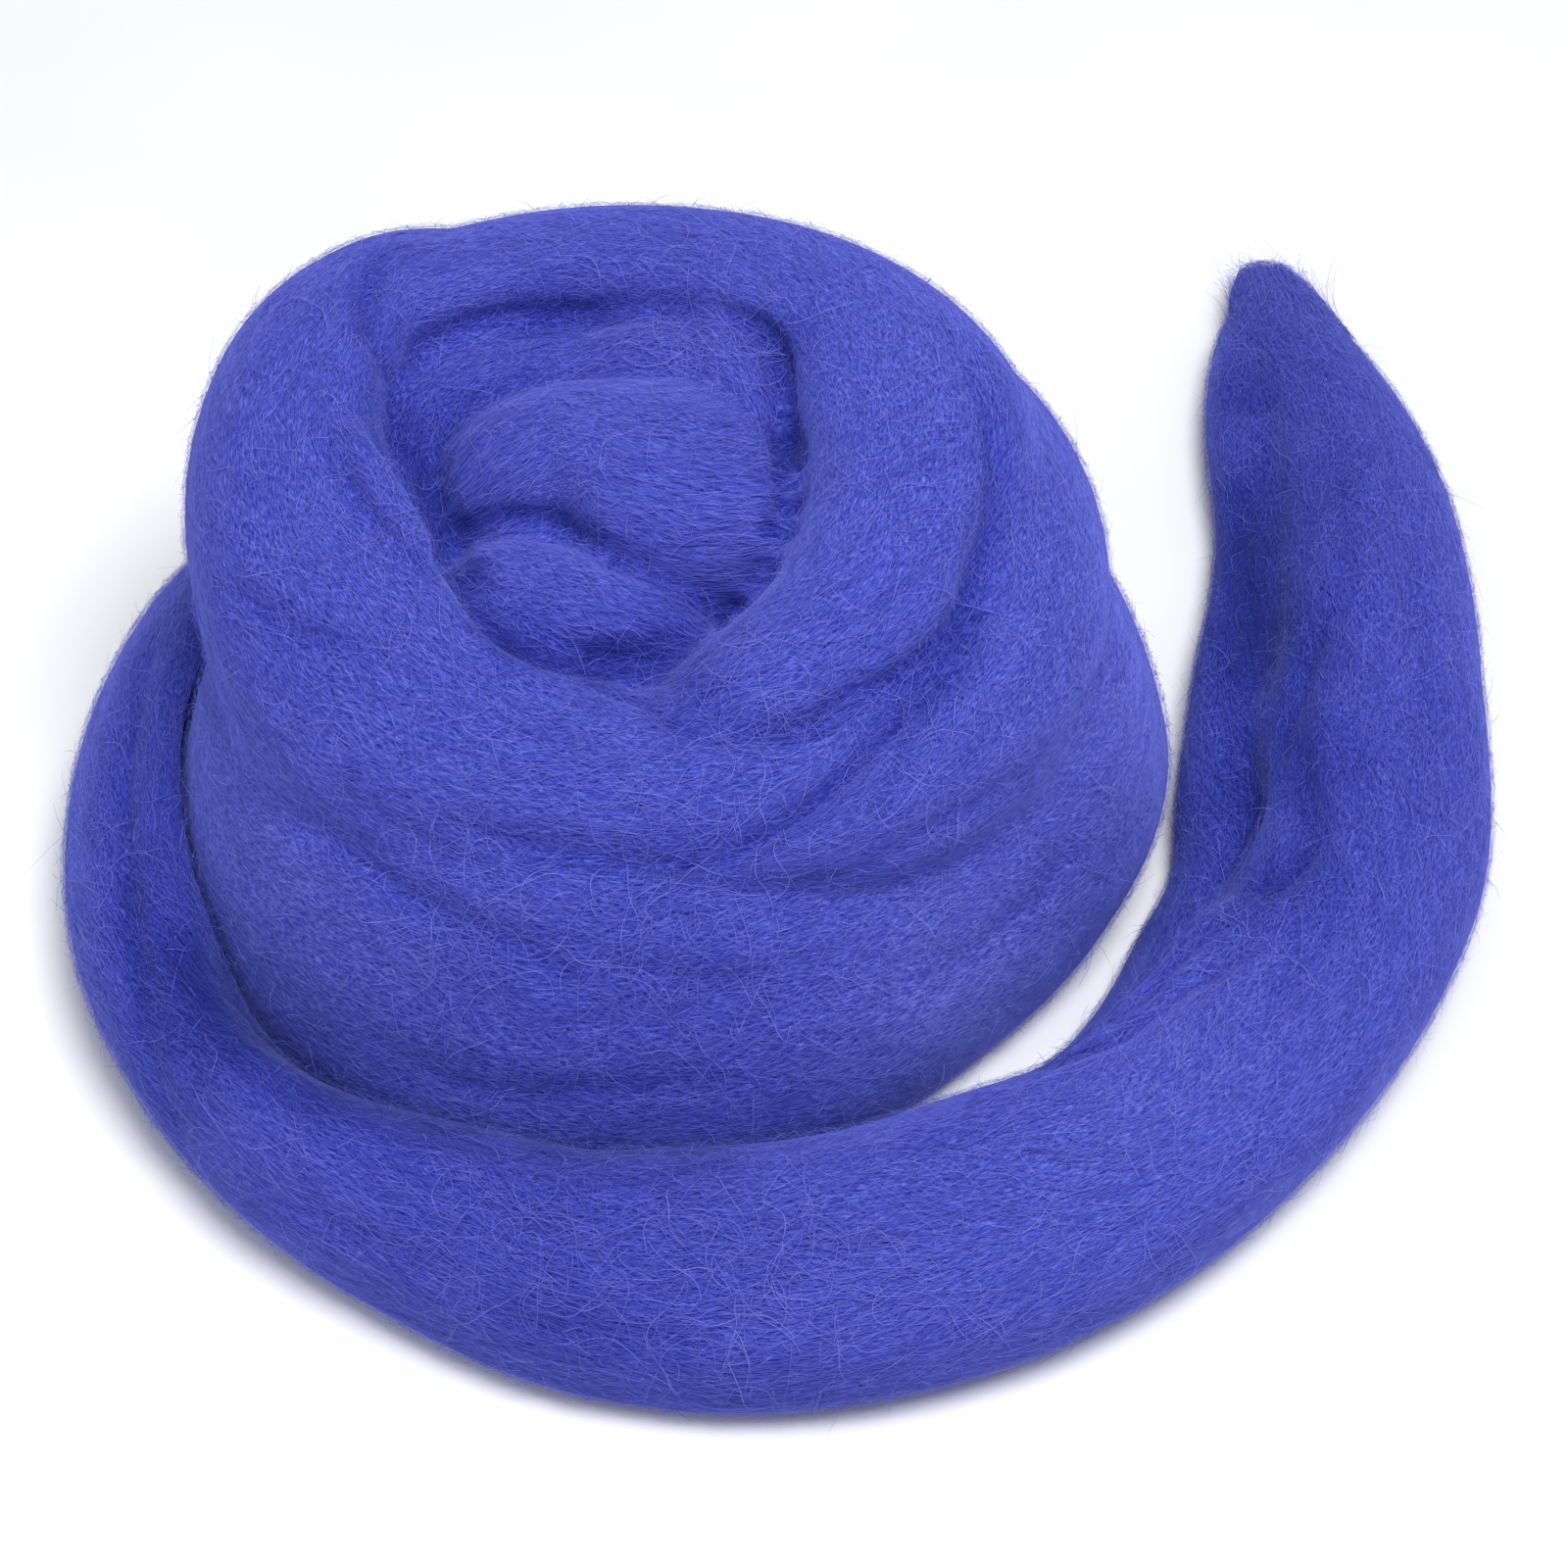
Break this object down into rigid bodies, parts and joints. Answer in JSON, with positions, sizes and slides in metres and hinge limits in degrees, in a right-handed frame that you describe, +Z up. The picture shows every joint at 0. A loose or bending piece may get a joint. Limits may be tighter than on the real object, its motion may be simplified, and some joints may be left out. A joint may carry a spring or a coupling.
{
  "type": "wool roving",
  "caption": "Thick soft strand of combed wool wound into a low ball, with its feathered loose end laid round the front and up the right side.",
  "frame": {"origin": "on the table, under the middle of the bounding box", "axes": "+Z up, +Y towards the back, where the feathered tip of the loose end points, +X to the right of the picture's view"},
  "size_m": [0.331, 0.392, 0.1162],
  "materials": {
    "blue_wool": "matte, loose combed fibre"
  },
  "bodies": {
    "root": {"wound_ball": "blue_wool", "loose_end": "blue_wool"}
  },
  "joints": []
}
